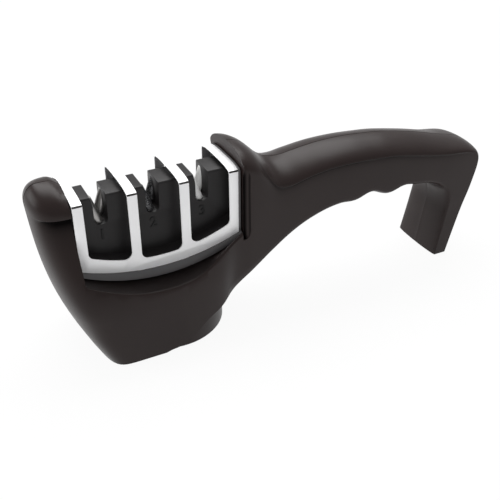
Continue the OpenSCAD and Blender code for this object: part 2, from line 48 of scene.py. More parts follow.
class Finish:
    """One procedural material: its shader, and where its patterns and bumps attach."""

    def __init__(self, name, colour, roughness, metallic=0.0, specular=0.5):
        self.material = bpy.data.materials.new(name)
        self.material.use_nodes = True
        self.tree = self.material.node_tree
        self.link = self.tree.links.new
        self.shader = self.tree.nodes["Principled BSDF"]
        for socket, value in (("Base Color", (*colour, 1)), ("Roughness", roughness),
                              ("Metallic", metallic), ("Specular IOR Level", specular)):
            self.shader.inputs[socket].default_value = value
        self.coordinates = self.tree.nodes.new("ShaderNodeTexCoord").outputs["Object"]
        self.normal = None

    def noise(self, scale, detail=3.0, stretch=(1, 1, 1)):
        mapping = self.tree.nodes.new("ShaderNodeMapping")
        mapping.inputs["Scale"].default_value = stretch
        self.link(self.coordinates, mapping.inputs["Vector"])
        node = self.tree.nodes.new("ShaderNodeTexNoise")
        node.inputs["Scale"].default_value = scale
        node.inputs["Detail"].default_value = detail
        self.link(mapping.outputs["Vector"], node.inputs["Vector"])
        return node.outputs["Fac"]

    def ramp(self, value, low, high, at_low=0.3, at_high=0.7):
        node = self.tree.nodes.new("ShaderNodeValToRGB")
        node.color_ramp.elements[0].position = at_low
        node.color_ramp.elements[1].position = at_high
        node.color_ramp.elements[0].color = (*low, 1)
        node.color_ramp.elements[1].color = (*high, 1)
        self.link(value, node.inputs["Fac"])
        return node.outputs["Color"]

    def spread(self, value, low, high):
        node = self.tree.nodes.new("ShaderNodeMapRange")
        node.inputs["To Min"].default_value = low
        node.inputs["To Max"].default_value = high
        self.link(value, node.inputs["Value"])
        return node.outputs["Result"]

    def colour_from(self, output):
        self.link(output, self.shader.inputs["Base Color"])

    def roughness_from(self, output):
        self.link(output, self.shader.inputs["Roughness"])

    def darken_recesses(self, colour, specular):
        """Painted shade: less colour and gloss where the mesh's attribute says that the surface lies deep in
        recesses, under creases or on the shelf.
        """
        depth = self.tree.nodes.new("ShaderNodeAttribute")
        depth.attribute_name = "recess"
        blend = self.tree.nodes.new("ShaderNodeMix")
        blend.data_type = "RGBA"
        self.link(depth.outputs["Fac"], blend.inputs["Factor"])
        self.link(colour, blend.inputs[6])
        blend.inputs[7].default_value = (*PAINTED_SHADE_COLOUR, 1)
        self.colour_from(blend.outputs[2])
        gloss = self.spread(depth.outputs["Fac"], specular, PAINTED_SHADE_GLOSS)
        self.link(gloss, self.shader.inputs["Specular IOR Level"])

    def bump(self, height, distance, strength=1.0):
        node = self.tree.nodes.new("ShaderNodeBump")
        node.inputs["Distance"].default_value = distance
        node.inputs["Strength"].default_value = strength
        self.link(height, node.inputs["Height"])
        if self.normal is not None:
            self.link(self.normal, node.inputs["Normal"])
        self.normal = node.outputs["Normal"]
        self.link(self.normal, self.shader.inputs["Normal"])


def moulded(name, dark, light, roughness, grain, specular):
    """Moulded plastic: a fine spark-eroded grain, slow changes of gloss, faint handling marks and painted
    shade where the mesh marks recesses.
    """
    finish = Finish(name, dark, roughness, specular=specular)
    finish.darken_recesses(finish.ramp(finish.noise(45, 4), dark, light), specular)
    finish.roughness_from(finish.spread(finish.noise(130, 3), roughness - 0.05, roughness + 0.06))
    finish.bump(finish.noise(5200, 2), grain)
    finish.bump(finish.noise(240, 3), distance=0.000012, strength=0.5)
    return finish.material


def brushed(name, colour, roughness, stretch, metallic=1.0):
    """Sheet, rod or screw steel with fine brush lines."""
    finish = Finish(name, colour, roughness, metallic=metallic)
    lines = finish.noise(900, 3, stretch)
    finish.roughness_from(finish.spread(lines, roughness - 0.05, roughness + 0.07))
    finish.colour_from(finish.ramp(finish.noise(60, 3), tuple(c * 0.95 for c in colour), colour))
    finish.bump(lines, distance=0.000004, strength=0.6)
    return finish.material


def make_diamond():
    finish = Finish("diamond coating", (0.035, 0.035, 0.038), roughness=0.5, metallic=0.55)
    grit = finish.noise(2600, 2)
    finish.colour_from(finish.ramp(grit, (0.02, 0.02, 0.022), (0.34, 0.34, 0.35), 0.46, 0.72))
    finish.roughness_from(finish.spread(grit, 0.35, 0.65))
    finish.bump(grit, distance=0.00005)
    return finish.material


def make_ceramic():
    finish = Finish("white ceramic", (0.80, 0.79, 0.76), roughness=0.3)
    finish.colour_from(finish.ramp(finish.noise(90, 3), (0.82, 0.82, 0.81), (0.88, 0.88, 0.87)))
    finish.roughness_from(finish.spread(finish.noise(900, 2), 0.25, 0.4))
    finish.bump(finish.noise(3500, 2), distance=0.000008)
    return finish.material


def make_rubber():
    finish = Finish("pad rubber", (0.010, 0.010, 0.010), roughness=0.75, specular=0.3)
    finish.colour_from(finish.ramp(finish.noise(80, 3), (0.008, 0.008, 0.008), (0.016, 0.015, 0.015)))
    finish.roughness_from(finish.spread(finish.noise(300, 3), 0.65, 0.85))
    finish.bump(finish.noise(3000, 3), distance=0.00004)
    return finish.material


body_plastic = moulded("body plastic", (0.0152, 0.0080, 0.0072), (0.0184, 0.0104, 0.0094),
                       roughness=0.36, grain=0.00001, specular=0.25)
frame_plastic = moulded("cartridge plastic", (0.0105, 0.0092, 0.0096), (0.0150, 0.0135, 0.0140),
                        roughness=0.40, grain=0.000012, specular=0.28)
rim_plastic = moulded("rim plastic", (0.080, 0.077, 0.080), (0.095, 0.092, 0.095),
                      roughness=0.38, grain=0.00001, specular=0.45)
inner_plastic = moulded("inner plastic", (0.007, 0.007, 0.007), (0.010, 0.010, 0.010),
                        roughness=0.5, grain=0.000012, specular=0.3)
cover_steel = brushed("cover steel", (0.97, 0.97, 0.98),
                      roughness=0.42, stretch=(1, 0.06, 0.06), metallic=0.2)
# A darker copy of the cover steel for the faces inside the cover: painted shade
shaded_inside_steel = brushed("painted shade inside the cover", (0.56, 0.56, 0.57),
                       roughness=0.55, stretch=(1, 0.3, 0.3), metallic=0.6)
# A dark steel on the faces of the scored lines: painted shade along each bend
bend_shade_steel = brushed("painted shade in the scored bend", (0.07, 0.065, 0.065), roughness=0.6, stretch=(0.1, 1, 1))
screw_steel = brushed("screw steel", (0.45, 0.45, 0.46), roughness=0.33, stretch=(1, 1, 0.2))
coarse_metal = brushed("coarse rod metal", (0.40, 0.39, 0.38),
                       roughness=0.36, stretch=(1, 1, 0.05), metallic=0.85)
diamond_coating = make_diamond()
white_ceramic = make_ceramic()
pad_rubber = make_rubber()

CAD_FINISHES = (
    (body_plastic, ("body_shell_near", "body_shell_far")),
    (inner_plastic, ("base_plate", "cartridge_floor",
                     "coarse_rod_holder", "fine_rod_holder", "polish_rod_holder")),
    (frame_plastic, ("cartridge_frame",)),
    (cover_steel, ("steel_cover",)),
    (screw_steel, ("shell_screws", "base_screws", "cartridge_screws")),
    (coarse_metal, ("coarse_rod_near", "coarse_rod_far")),
    (diamond_coating, ("fine_rod_near", "fine_rod_far")),
    (white_ceramic, ("polish_rod_near", "polish_rod_far")),
    (pad_rubber, ("base_pad", "handle_foot_pad")))


def paint_solids():
    for material, nodes in CAD_FINISHES:
        for node in nodes:
            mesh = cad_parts[node].data
            mesh.materials.clear()
            mesh.materials.append(material)


paint_solids()


# Sums, curves and meshes, with lengths in millimetres

def mix(a, b, s):
    return a + (b - a) * s


def clamp(s):
    return min(1.0, max(0.0, s))


def smooth(s):
    s = clamp(s)
    return s * s * (3 - 2 * s)


def spline_at(rows, u):
    """A curve through rows of numbers, with the slopes of its neighbours."""
    last = len(rows) - 1
    i = min(last - 1, max(0, math.floor(u)))
    s = u - i
    neighbours = zip(rows[max(0, i - 1)], rows[i], rows[i + 1], rows[min(last, i + 2)])
    return [(2 * b + (c - a) * s + (2 * a - 5 * b + 4 * c - d) * s * s
             + (3 * b - a - 3 * c + d) * s ** 3) / 2 for a, b, c, d in neighbours]


def arc(x, z, radius, start, end, steps):
    """Points along a part of a circle, both its ends included."""
    angles = (mix(start, end, k / steps) for k in range(steps + 1))
    return [(x + radius * math.cos(a), z + radius * math.sin(a)) for a in angles]


def add_object(name, data):
    thing = bpy.data.objects.new(name, data)
    bpy.context.scene.collection.objects.link(thing)
    return thing


def mesh_object(name, points, faces):
    mesh = bpy.data.meshes.new(name)
    mesh.from_pydata([tuple(c * MM for c in p) for p in points], [], faces)
    mesh.update()
    return add_object(name, mesh)


def outward(mesh, merge=True):
    """Turns every face outward, after merging doubles and dropping faces without area."""
    work = bmesh.new()
    work.from_mesh(mesh)
    if merge:
        bmesh.ops.remove_doubles(work, verts=work.verts, dist=0.00001)
        bmesh.ops.dissolve_degenerate(work, edges=work.edges, dist=0.000005)
    bmesh.ops.recalc_face_normals(work, faces=work.faces)
    if work.calc_volume(signed=True) < 0:
        bmesh.ops.reverse_faces(work, faces=work.faces)
    work.to_mesh(mesh)
    work.free()


def solid_of_rings(name, rings, merge=True):
    """Joins rings of points of equal count into a solid with a face over each end."""
    points = [p for ring in rings for p in ring]
    m, last = len(rings[0]), len(rings) - 1
    faces = []
    for i in range(last):
        for j in range(m):
            k = (j + 1) % m
            faces.append((i * m + j, i * m + k, (i + 1) * m + k, (i + 1) * m + j))
    faces += [tuple(range(m)), tuple(last * m + j for j in range(m))]
    thing = mesh_object(name, points, faces)
    outward(thing.data, merge)
    return thing


def prism_along(name, section, x_from, x_to):
    """A prism along the body from a section of y and z."""
    return solid_of_rings(name, [[(x, y, z) for y, z in section] for x in (x_from, x_to)])


def prism_across(name, outline, y_from, y_to):
    """A prism across the body from an outline of x and z."""
    return solid_of_rings(name, [[(x, y, z) for x, z in outline] for y in (y_from, y_to)])


def box_solid(name, low, high):
    section = [(low[1], low[2]), (high[1], low[2]), (high[1], high[2]), (low[1], high[2])]
    return prism_along(name, section, low[0], high[0])


def bake(thing):
    """Makes what the modifiers show the piece's own mesh."""
    graph = bpy.context.evaluated_depsgraph_get()
    result = bpy.data.meshes.new_from_object(thing.evaluated_get(graph))
    thing.modifiers.clear()
    thing.data = result


def cut(thing, cutter, operation="DIFFERENCE"):
    modifier = thing.modifiers.new("cut", "BOOLEAN")
    modifier.operation = operation
    modifier.solver = "EXACT"
    modifier.object = cutter
    bake(thing)
    bpy.data.objects.remove(cutter)


def rounded_edges(thing, width, angle=40):
    modifier = thing.modifiers.new("rounded edges", "BEVEL")
    modifier.width = width * MM
    modifier.segments = 2
    modifier.limit_method = "ANGLE"
    modifier.angle_limit = math.radians(angle)
    modifier.use_clamp_overlap = True
    bake(thing)


def finish_piece(thing, name, material, angle=32):
    """Names a piece, gives it its material if it has none, and keeps the edges above the angle sharp."""
    outward(thing.data)
    thing.name = thing.data.name = name
    if not thing.data.materials:
        thing.data.materials.append(material)
    thing.data.shade_smooth()
    thing.data.set_sharp_from_angle(angle=math.radians(angle))
    return thing


def place(piece, body, node):
    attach(piece, body)
    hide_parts(node)


# Body shells, with the nose at -X and the middle plane at y = 0

X_TIP = -104.0
HEAD_LENGTH, HANDLE_LENGTH = 84.4, 123.6
X_SHOULDER = X_TIP + HEAD_LENGTH
X_NOSE_WALL = X_TIP + 15.0
HEAD_HALF, HANDLE_HALF, NOSE_HALF = 25.9, 14.0, 14.2
SHOULDER_HEIGHT, NOSE_HEIGHT = 78.0, 77.0
PAD, PAD_INSET, PAD_SHOWN = 1.0, 1.4, 0.24
BASE_DROP, BASE_DROP_HEIGHT = 0.75, 10.0
UNDER_ROLL, SHOULDER_ROLL, BASE_ROLL = 4.0, 9.0, 0.5
NOSE_SIDE, NOSE_FRONT_ROLL, NOSE_ROLL = 69.5, 5.6, 10.0
NOSE_SET_BACK, NOSE_LEAN, NOSE_SWEEP, NOSE_SWEEP_POWER = 0.8, 5.6, 13.1, 2.8
NOSE_FALL, NOSE_FALL_LENGTH, NOSE_FALL_POWER = 2.6, 4.5, 1.8
NOSE_SHARE_LOW, NOSE_SHARE_HIGH = 0.30, 0.25
NOSE_BLUNT, BASE_BLUNT, NOSE_ROUND, BASE_ROUND, SQUARE_HEIGHT = 5.8, 10, 0.6, 0.62, 20.0
FINGER_WAVE = 1.6
WAVE_START_SHARE, WAVE_END_SHARE = 0.40, 0.735
FLARE_LOW, FLARE_HIGH = 26.0, 64.0
# CREASE_SHADE and NOSE_SHADE set how dark the painted shade under the creases is
CREASE_CROWN, NOSE_CREASE, CREASE_SHADE = 1.5, 0.4, 0.75
UNDERCUT, NOSE_UNDERCUT, NOSE_SHADE = 0.55, 3.0, 2.2
FOLD_GROWTH, SHADE_GROWTH = 0.35, 0.4
X_PEDESTAL, PEDESTAL_RADIUS, PEDESTAL_TOP, PEDESTAL_SQUASH = -50.6, 25.1, 19.0, 0.985
PEDESTAL_UNDER, PEDESTAL_CHAMFER, PEDESTAL_CHAMFER_RISE = 0.02, 0.5, 0.6
SEAM_HALF, SEAM_DEPTH = 0.22, 0.2

# Bottom along, bottom height, top along, top height, base width, top width, lower roll, upper roll,
# crease, angle of the roll at the crease. Along the head and the handle as shares of their lengths.
HEAD_SHARES = [
    (0.662, 0.013, 0.520, 0.985, 0.976, 0.640, 0.40, 1.00, 0.0, 0.5),
    (0.756, 0.094, 0.700, 0.990, 0.924, 0.670, 0.40, 1.00, 0.0, 0.5),
    (0.846, 0.142, 0.860, 0.995, 0.848, 0.682, 0.40, 1.00, 0.0, 0.5)]
HANDLE_SHARES = [
    (-0.048, 0.190, -0.007, 1.008, 1.330, 1.214, 0.75, 0.85, 0.0, 0.55),
    (0.031, 0.262, 0.053, 0.975, 1.229, 1.186, 0.80, 0.88, 0.0, 0.55),
    (0.114, 0.343, 0.122, 0.878, 1.136, 1.114, 0.90, 1.08, 0.9, 0.17),
    (0.196, 0.415, 0.187, 0.852, 1.064, 1.057, 1.00, 0.84, 1.0, 0.0),
    (0.274, 0.468, 0.256, 0.864, 1.014, 1.014, 1.00, 0.76, 1.0, 0.0),
    (0.361, 0.506, 0.345, 0.879, 1.000, 1.000, 1.00, 0.74, 1.0, 0.0),
    (0.456, 0.516, 0.446, 0.881, 1.000, 1.000, 1.00, 0.75, 1.0, 0.0),
    (0.553, 0.518, 0.543, 0.869, 1.000, 1.000, 1.00, 0.73, 1.0, 0.0),
    (0.636, 0.517, 0.628, 0.852, 1.000, 1.000, 1.00, 0.70, 1.0, 0.0),
    (0.713, 0.514, 0.757, 0.807, 1.000, 1.000, 0.95, 0.67, 0.9, 0.0),
    (0.773, 0.506, 0.874, 0.755, 1.000, 1.000, 0.90, 0.57, 0.8, 0.0),
    (0.824, 0.480, 0.990, 0.701, 1.000, 1.000, 0.85, 0.38, 0.2, 0.0),
    (0.862, 0.426, 1.023, 0.634, 1.000, 1.000, 0.75, 0.32, 0.0, 0.0),
    (0.876, 0.336, 1.001, 0.458, 1.000, 1.000, 0.65, 0.24, 0.0, 0.0),
    (0.866, 0.216, 0.968, 0.282, 1.000, 1.000, 0.55, 0.22, 0.0, 0.0),
    (0.846, -0.009, 0.914, -0.009, 1.045, 1.045, 0.30, 0.13, 0.0, 0.0)]


def body_row(shares, start, length, half):
    x_low, z_low, x_high, z_high, base, top, under_roll, upper_roll, crease, angle = shares
    return [start + length * x_low, mix(PAD, SHOULDER_HEIGHT, z_low),
            start + length * x_high, mix(PAD, SHOULDER_HEIGHT, z_high),
            half * base, half * top, UNDER_ROLL * under_roll, SHOULDER_ROLL * upper_roll, crease, angle]


BODY_ROWS = ([body_row(r, X_TIP, HEAD_LENGTH, HEAD_HALF) for r in HEAD_SHARES]
             + [body_row(r, X_SHOULDER, HANDLE_LENGTH, HANDLE_HALF) for r in HANDLE_SHARES])


def finger_rise(x):
    """How far the underside of the handle is raised or lowered by the finger grips."""
    t = ((x - X_SHOULDER) / HANDLE_LENGTH - WAVE_START_SHARE) / (WAVE_END_SHARE - WAVE_START_SHARE)
    return -FINGER_WAVE * math.sin(math.pi * t) * math.sin(4 * math.pi * t) if 0 < t < 1 else 0.0


def side_width(base, top, z):
    return mix(base, top, smooth((z - FLARE_LOW) / (FLARE_HIGH - FLARE_LOW)))


UNDER_STEPS, SIDE_STEPS, ROLL_STEPS, TOP_STEPS = 10, 22, 7, 14
SIDE_CROWDING, ROLL_GAP = 1.6, 0.04


def levels(height, under_roll, upper_roll, crease, angle):
    """Heights up a half section, each with its share of the width and how far it lies below the crease."""
    edge = math.pi / 2 * angle
    roll_start = height - upper_roll
    crease_height = roll_start + upper_roll * math.sin(edge)
    out = []
    for i in range(UNDER_STEPS + 1):
        a = math.pi / 2 * i / UNDER_STEPS
        out.append((under_roll * (1 - math.cos(a)), math.sin(a)))
    for i in range(1, SIDE_STEPS):
        s = 1 - (1 - i / SIDE_STEPS) ** SIDE_CROWDING
        out.append((mix(under_roll, roll_start - ROLL_GAP * ROLL_STEPS, s), 1.0))
    for i in range(ROLL_STEPS):
        a = edge * i / ROLL_STEPS
        out.append((roll_start + upper_roll * math.sin(a) - ROLL_GAP * (ROLL_STEPS - i), math.cos(a)))
    out = [(h, w, crease_height - h) for h, w in out]
    power = 2 / mix(2.0, CREASE_CROWN, crease)
    for i in range(TOP_STEPS + 1):
        s = i / TOP_STEPS
        a = mix(edge, math.pi / 2, s)
        b = math.pi / 2 * s
        round_w, round_h = math.cos(a), roll_start + upper_roll * math.sin(a)
        crown_w = math.cos(edge) * math.cos(b) ** power
        crown_h = crease_height + (height - crease_height) * math.sin(b) ** power
        width = mix(round_w, crown_w, crease) if i < TOP_STEPS else 0.0
        out.append((mix(round_h, crown_h, crease), width, None))
    return out


def undercut(below, depth, lip=0.8, reach=5.0):
    """How far the side lies in under the crease: most just below it, fading down the side."""
    if below is None:
        return 0.0
    return depth * smooth(below / lip) * math.exp(-max(0.0, below - lip) / reach)


def body_section(row):
    """A half section of the body, as x, half width, height and the strength of painted shade at each point.
    """
    x_low, z_low, x_high, z_high, base, top, under_roll, upper_roll, crease, angle = row
    z_low += finger_rise(x_low)
    span = math.hypot(x_high - x_low, z_high - z_low)
    crease = clamp(crease)
    points = []
    for height, share, below in levels(span, under_roll, upper_roll, crease, clamp(angle)):
        t = height / span
        z = mix(z_low, z_high, t)
        half = (side_width(base, top, z) - undercut(below, UNDERCUT * crease)) * share
        # Painted shade in a narrow band just under the crease
        shade = CREASE_SHADE * undercut(below, crease, lip=0.25, reach=1.3)
        points.append((mix(x_low, x_high, t), half, z, shade))
    return points


def nose_front(z):
    """Where the front of the nose lies: a swept side below, rolled over at the top."""
    if z < NOSE_SIDE:
        u = 1 - z / NOSE_SIDE
        return X_TIP + NOSE_SET_BACK + NOSE_LEAN * u + NOSE_SWEEP * u ** NOSE_SWEEP_POWER
    s = min(1.0, (z - NOSE_SIDE) / (NOSE_HEIGHT - NOSE_SIDE))
    return X_TIP + NOSE_SET_BACK + NOSE_FRONT_ROLL * (1 - math.sqrt(1 - s * s))


def nose_spread(s, square):
    """The share of the width at a share of the way back: round above, square at the base."""
    return (1 - (1 - s) ** mix(NOSE_BLUNT, BASE_BLUNT, square)) ** mix(NOSE_ROUND, BASE_ROUND, square)


def nose_section(s):
    """A half section of the nose at a share of the way from its front to the body."""
    points = []
    crease = NOSE_CREASE * smooth(s / SHADE_GROWTH)
    for height, share, below in levels(NOSE_HEIGHT - PAD, BASE_ROLL, NOSE_ROLL, crease, 0.0):
        z = PAD + height
        fold = undercut(below, NOSE_UNDERCUT * smooth(s / FOLD_GROWTH), lip=1.1, reach=8.0)
        half = side_width(HEAD_HALF, NOSE_HALF, z) - fold
        plan = HEAD_LENGTH * mix(NOSE_SHARE_LOW, NOSE_SHARE_HIGH, clamp(z / NOSE_SIDE))
        x = nose_front(z) + plan * s
        above = clamp((z - NOSE_HEIGHT + NOSE_ROLL) / NOSE_ROLL)
        back = clamp((x - X_NOSE_WALL + NOSE_FALL_LENGTH) / NOSE_FALL_LENGTH)
        drop = above * (NOSE_FALL * back ** NOSE_FALL_POWER)
        drop += BASE_DROP * clamp(1 - (z - PAD) / BASE_DROP_HEIGHT)
        # Painted shade under the nose's crease, fading down the side
        shade = min(1.0, undercut(below, NOSE_SHADE * smooth(s / SHADE_GROWTH), lip=0.5, reach=3.2))
        spread = nose_spread(s, clamp(1 - z / SQUARE_HEIGHT))
        points.append((x, half * share * spread, z - drop, shade))
    return points


NOSE_STEPS, JOIN_STEPS, ROW_STEPS = 22, 6, 8
NOSE_CROWDING = 2.2


def body_sections():
    """Half sections from the front of the nose to the foot of the leg."""
    nose = [nose_section((i / NOSE_STEPS) ** NOSE_CROWDING) for i in range(NOSE_STEPS + 1)]
    last = (len(BODY_ROWS) - 1) * ROW_STEPS
    body = [body_section(spline_at(BODY_ROWS, k / ROW_STEPS)) for k in range(last + 1)]
    between = [[tuple(mix(a, b, i / JOIN_STEPS) for a, b in zip(p, q)) for p, q in zip(nose[-1], body[0])]
               for i in range(1, JOIN_STEPS)]
    return nose + between + body


SECTIONS = body_sections()


def half_body(side):
    """One closed half of the body, with a fine chamfer along the seam."""
    rings = []
    for section in SECTIONS:
        (x_low, _, z_low, _), (x_high, _, z_high, _) = section[0], section[-1]
        ring = [(x_low, 0.0, z_low + SEAM_DEPTH), (x_low, side * SEAM_HALF, z_low)]
        ring += [(x, side * max(y, SEAM_HALF), z) for x, y, z, _ in section[1:-1]]
        ring += [(x_high, side * SEAM_HALF, z_high), (x_high, 0.0, z_high - SEAM_DEPTH)]
        rings.append(ring)
    return solid_of_rings("half body", rings, merge=False)


# The cartridge's well, the sloping shelf around it and the shoulder's front edge

X_COVER, COVER_LENGTH = X_NOSE_WALL + 0.3, 67.75
X_COVER_END = X_COVER + COVER_LENGTH
X_CART_END = X_SHOULDER - 0.3
X_CART = X_COVER + COVER_LENGTH / 2
LIP_CENTRE, LIP_RADIUS, LIP_ROLL = 105.0, 73.6, 1.2
LIP_BACK_RISE, LIP_BACK_START, LIP_BACK_LENGTH = 3.2, -46.0, 18.0
LIP_FRONT_RISE, LIP_FRONT_START, LIP_FRONT_LENGTH = 0.6, -62.0, 20.0
LIP_TURNS = [math.pi / 16 * k for k in range(7)]
SEAT_RADIUS, SEAT_HALF = 72.8, 15.8
# How dark the painted shade on the shelf is near the well and near the lip, and the heights it covers
SHELF_SHADE_IN, SHELF_SHADE_OUT, SHELF_OVER, SHELF_UNDER = 0.9, 0.5, 0.3, 1.0
WELL_HALF, WELL_BOTTOM = 13.55, 29.4
EDGE_ROLL, EDGE_INNER, EDGE_LOW, EDGE_HIGH, EDGE_FADE, EDGE_RISE = 3.4, 14.9, 40.2, 73.5, 5.0, 4.0
EDGE_TOP_LESS, EDGE_FOOT_SHARE, EDGE_CLEAR = 0.5, 0.25, 0.6
EDGE_TURNS = [math.radians(12 + 9 * k) for k in range(8)]
# Past the end of its roll, how far down or back and how far out of the surface each cutter goes on
LIP_EXIT, EDGE_EXIT = ((0.6, 0.7), (0.7, 2.0)), ((0.4, 0.5), (0.5, 3.0))
# Where the two bands of painted shade on the rounded edge start, over what length, and how dark the outer one
# is
INNER_SHADE_BAND, OUTER_SHADE_BAND, OUTER_SHADE = (0.13, 0.3), (0.45, 0.25), 0.85
SADDLE_STEPS, EDGE_STEPS, PEDESTAL_STEPS = 120, 40, 72
COUNTERBORE_RADIUS, COUNTERBORE_START, COUNTERBORE_END = 2.7, 8.0, 40.0
OVERRUN, NEAR = 1.0, 0.05

# Where the shell screws sit, as x and z
SHELL_SCREWS = [(X_TIP + 10.4, 40.04), (X_SHOULDER - 4.4, 24.0), (X_SHOULDER + 9.6, 55.0),
                (X_SHOULDER + 64.6, 56.0), (X_SHOULDER + 109.6, 45.0)]


def arc_height(x, centre, radius):
    """The height of an arc that hangs below its centre, over the middle of the cartridge."""
    return centre - math.sqrt(radius * radius - (x - X_CART) ** 2)


def outline_at(z):
    """The body's half widths along x at one height."""
    outline = []
    for section in SECTIONS:
        for p, q in zip(section, section[1:]):
            if p[2] <= z < q[2]:
                s = (z - p[2]) / (q[2] - p[2])
                outline.append((mix(p[0], q[0], s), mix(p[1], q[1], s)))
                break
    return sorted(outline)


OUTLINES = {z: outline_at(z) for z in range(24, 76)}


def half_width_at(x, z):
    widths = []
    for height in (math.floor(z), math.floor(z) + 1):
        outline = OUTLINES[height]
        p, q = next(((p, q) for p, q in zip(outline, outline[1:]) if p[0] <= x < q[0]),
                    (outline[-1], outline[-1]))
        reach = q[0] - p[0]
        widths.append(mix(p[1], q[1], (x - p[0]) / reach if reach else 0.0))
    return mix(widths[0], widths[1], z - math.floor(z))


def lip_radius(x):
    back = smooth((x - LIP_BACK_START) / LIP_BACK_LENGTH)
    front = smooth((LIP_FRONT_START - x) / LIP_FRONT_LENGTH)
    return LIP_RADIUS - LIP_BACK_RISE * back - LIP_FRONT_RISE * front


def lip_edge(x):
    """Half the body's width where the lip's roll meets its side."""
    return half_width_at(x, arc_height(x, LIP_CENTRE, lip_radius(x) + LIP_ROLL))


def saddle_solid(side):
    """The hollow above the shelf, which slopes down to a rounded lip."""
    rings = []
    for i in range(SADDLE_STEPS + 1):
        x = mix(X_NOSE_WALL, X_SHOULDER, i / SADDLE_STEPS)
        lip, edge = lip_radius(x), lip_edge(x)
        profile = [(SEAT_RADIUS, -OVERRUN), (SEAT_RADIUS, SEAT_HALF)]
        for a in LIP_TURNS:
            profile.append((lip + LIP_ROLL * (1 - math.cos(a)), edge - LIP_ROLL * (1 - math.sin(a))))
        profile += [(lip + LIP_ROLL + down, edge + out) for down, out in LIP_EXIT]
        ring = [(x, side * y, arc_height(x, LIP_CENTRE, radius)) for radius, y in profile]
        ring += [(x, side * profile[-1][1], LIP_CENTRE), (x, -side * OVERRUN, LIP_CENTRE)]
        rings.append(ring)
    return solid_of_rings("saddle", rings)


def shoulder_edge_solid(side):
    """What is taken off to round the shoulder's front edge, fading out towards its top."""
    rings = []
    for k in range(EDGE_STEPS + 1):
        z = mix(EDGE_LOW, EDGE_HIGH, k / EDGE_STEPS)
        fade = smooth((z - EDGE_HIGH + EDGE_FADE) / EDGE_FADE)
        rise = clamp((z - EDGE_LOW) / EDGE_RISE)
        foot = mix(EDGE_FOOT_SHARE, 1.0, math.sqrt(1 - (1 - rise) ** 2))
        reach = EDGE_ROLL * (1 - EDGE_TOP_LESS * fade) * foot
        half = half_width_at(X_SHOULDER + reach, z)
        inset = mix(half - EDGE_INNER, -EDGE_CLEAR, fade)
        roll = [(X_SHOULDER + reach * (1 - math.cos(a)), half - inset * (1 - math.sin(a)))
                for a in EDGE_TURNS]
        outside = [(X_SHOULDER + reach + back, half + out) for back, out in EDGE_EXIT]
        ring = [(X_SHOULDER - OVERRUN, roll[0][1])] + roll + outside
        ring.append((X_SHOULDER - OVERRUN, outside[-1][1]))
        rings.append([(x, side * y, z) for x, y in ring])
    return solid_of_rings("shoulder edge", rings)


def pedestal_solid(side):
    """Half of the round foot under the head, with a fine chamfer below."""
    low = PAD - BASE_DROP - PEDESTAL_UNDER
    rings = []
    for radius, z in ((PEDESTAL_RADIUS - PEDESTAL_CHAMFER, low),
                      (PEDESTAL_RADIUS, low + PEDESTAL_CHAMFER_RISE), (PEDESTAL_RADIUS, PEDESTAL_TOP)):
        ring = []
        for i in range(PEDESTAL_STEPS + 1):
            a = math.pi * i / PEDESTAL_STEPS - math.pi / 2
            ring.append((X_PEDESTAL + radius * math.sin(a),
                         side * PEDESTAL_SQUASH * radius * math.cos(a), z))
        rings.append(ring)
    return solid_of_rings("pedestal", rings)


def counterbore_solid(x, z):
    circle = arc(x, z, COUNTERBORE_RADIUS, 0.0, 2 * math.pi, 48)[:-1]
    return prism_across("counterbore", circle, COUNTERBORE_START, COUNTERBORE_END)


def recess_depth(x, y, z, crease_shade):
    """How much painted shade a point gets: on the shelf, in the well, on the shoulder's rounded edge or under
    a crease.
    """
    if X_NOSE_WALL - NEAR < x < X_SHOULDER + NEAR:
        edge = lip_edge(x)
        slope = clamp((y - SEAT_HALF) / (edge - SEAT_HALF))
        shelf = arc_height(x, LIP_CENTRE, mix(SEAT_RADIUS, lip_radius(x), slope))
        in_well = y < WELL_HALF + 2 * NEAR and z > WELL_BOTTOM - 2 * NEAR
        if y < edge - 0.01 and z < shelf + SHELF_OVER and (in_well or z > shelf - SHELF_UNDER):
            return smooth((edge - y) / LIP_ROLL) * mix(SHELF_SHADE_IN, SHELF_SHADE_OUT, slope)
    elif X_SHOULDER < x < X_SHOULDER + EDGE_ROLL and EDGE_LOW - 2 * NEAR < z < EDGE_HIGH:
        if y < half_width_at(x, z) - 0.03:
            out = (x - X_SHOULDER) / EDGE_ROLL
            inner = 1 - smooth((out - INNER_SHADE_BAND[0]) / INNER_SHADE_BAND[1])
            outer = OUTER_SHADE * smooth((out - OUTER_SHADE_BAND[0]) / OUTER_SHADE_BAND[1])
            return max(inner, outer) * smooth((EDGE_HIGH - z) / EDGE_FADE)
    return crease_shade


def mark_recesses(shell):
    """Stores with each point of a shell how much painted shade it gets, from where it lies in the hollows."""
    known = [p for section in SECTIONS for p in section]
    tree = KDTree(len(known))
    for i, (x, y, z, _) in enumerate(known):
        tree.insert((x, y, z), i)
    tree.balance()
    depths = []
    for vertex in shell.data.vertices:
        x, y, z = vertex.co / MM
        y = abs(y)
        depths.append(recess_depth(x, y, z, known[tree.find((x, y, z))[1]][3]))
    shell.data.attributes.new("recess", "FLOAT", "POINT").data.foreach_set("value", depths)


def make_shell(name, side):
    shell = half_body(side)
    cut(shell, saddle_solid(side))
    cut(shell, shoulder_edge_solid(side))
    low, high = sorted((side * WELL_HALF, -side * OVERRUN))
    cut(shell, box_solid("well", (X_NOSE_WALL, low, WELL_BOTTOM), (X_SHOULDER, high, LIP_CENTRE)))
    cut(shell, pedestal_solid(side), "UNION")
    if side > 0:
        for x, z in SHELL_SCREWS:
            cut(shell, counterbore_solid(x, z))
    finish_piece(shell, name, body_plastic)
    mark_recesses(shell)
    return shell


